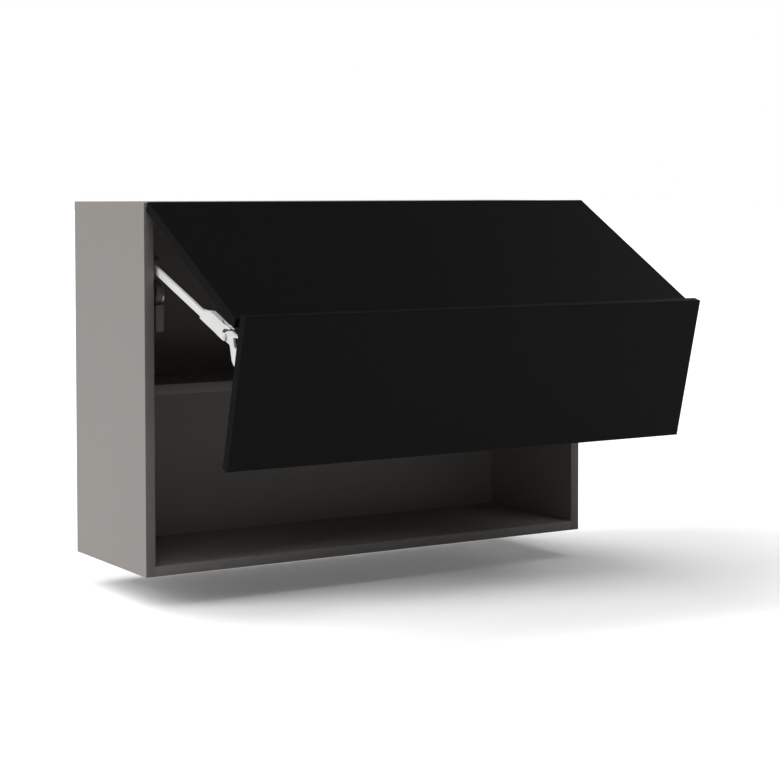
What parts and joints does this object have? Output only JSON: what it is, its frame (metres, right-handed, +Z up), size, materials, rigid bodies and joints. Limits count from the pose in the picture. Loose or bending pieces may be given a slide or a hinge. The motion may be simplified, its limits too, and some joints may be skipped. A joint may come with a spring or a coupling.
{
  "type": "lift-up wall cabinet",
  "caption": "Wide wall-hung kitchen cabinet with a two-part front that folds and lifts on sprung arms, drawn part open, with one inner shelf.",
  "frame": {"origin": "on the wall plane, at the centre of the four wall-plate screw holes", "axes": "+X to the right along the wall, +Y into the wall (the fronts face -Y), +Z up"},
  "size_m": [1, 0.7322, 0.7012],
  "materials": {
    "carcass_board": "matt melamine-faced particleboard, warm dark grey",
    "black_front": "super-matt black lacquered board",
    "bright_steel": "zinc- or nickel-plated steel",
    "white_fitting": "light satin powder coat",
    "grey_plastic": "dark grey moulded plastic",
    "clear_rubber": "soft translucent bumper",
    "beech": "fluted beech dowel"
  },
  "bodies": {
    "cabinet": {"back_panel": "carcass_board", "bottom_panel": "carcass_board", "corner_dowels": "beech", "end_ring_left": "white_fitting", "end_ring_right": "white_fitting", "hanging_brackets": "white_fitting", "hanging_hooks": "bright_steel", "lift_base_left": "bright_steel", "lift_base_right": "bright_steel", "lift_cover_left": "grey_plastic", "lift_cover_right": "grey_plastic", "lift_spring_left": "bright_steel", "lift_spring_right": "bright_steel", "round_end_left": "grey_plastic", "round_end_right": "grey_plastic", "shelf": "carcass_board", "shelf_pins": "bright_steel", "side_panel_left": "carcass_board", "side_panel_right": "carcass_board", "spring_rod_left": "bright_steel", "spring_rod_right": "bright_steel", "top_hinge_arms": "bright_steel", "top_hinge_plates": "bright_steel", "top_panel": "carcass_board", "wall_plates": "bright_steel"},
    "upper_front": {"fold_hinge_arms": "bright_steel", "fold_hinge_plates": "bright_steel", "top_hinge_cups": "bright_steel", "top_hinge_pins": "bright_steel", "upper_front": "black_front"},
    "lower_front": {"bracket_pins": "bright_steel", "fold_hinge_cups": "bright_steel", "fold_hinge_pins": "bright_steel", "front_bracket_left": "white_fitting", "front_bracket_right": "white_fitting", "front_buffers": "clear_rubber", "lower_front": "black_front"},
    "lift_arm_left": {"clamp_screw_left": "bright_steel", "lift_bar_left": "white_fitting", "lift_sleeve_left": "white_fitting"},
    "lift_arm_right": {"clamp_screw_right": "bright_steel", "lift_bar_right": "white_fitting", "lift_sleeve_right": "white_fitting"}
  },
  "joints": [
    {"name": "front_lift", "type": "hinge", "parent": "cabinet", "child": "upper_front", "pos_m": [0, -0.343, 0.065], "axis": [-1, 0, 0], "range_deg": [-61, 12]},
    {"name": "front_fold", "type": "hinge", "parent": "upper_front", "child": "lower_front", "pos_m": [0, -0.71918, -0.14123], "axis": [1, 0, 0], "range_deg": [-75.56, 14.87]},
    {"name": "arm_swing_left", "type": "hinge", "parent": "lower_front", "child": "lift_arm_left", "pos_m": [-0.472, -0.60967, -0.15755], "axis": [-1, 0, 0], "range_deg": [-82.15, 16.17]},
    {"name": "arm_swing_right", "type": "hinge", "parent": "lower_front", "child": "lift_arm_right", "pos_m": [0.472, -0.60967, -0.15755], "axis": [-1, 0, 0], "range_deg": [-82.15, 16.17]}
  ],
  "couplings": [
    {"joint": "front_fold", "follows": "front_lift", "ratio": 1.2385},
    {"joint": "arm_swing_left", "follows": "front_lift", "ratio": 1.3465},
    {"joint": "arm_swing_right", "follows": "front_lift", "ratio": 1.3465}
  ]
}
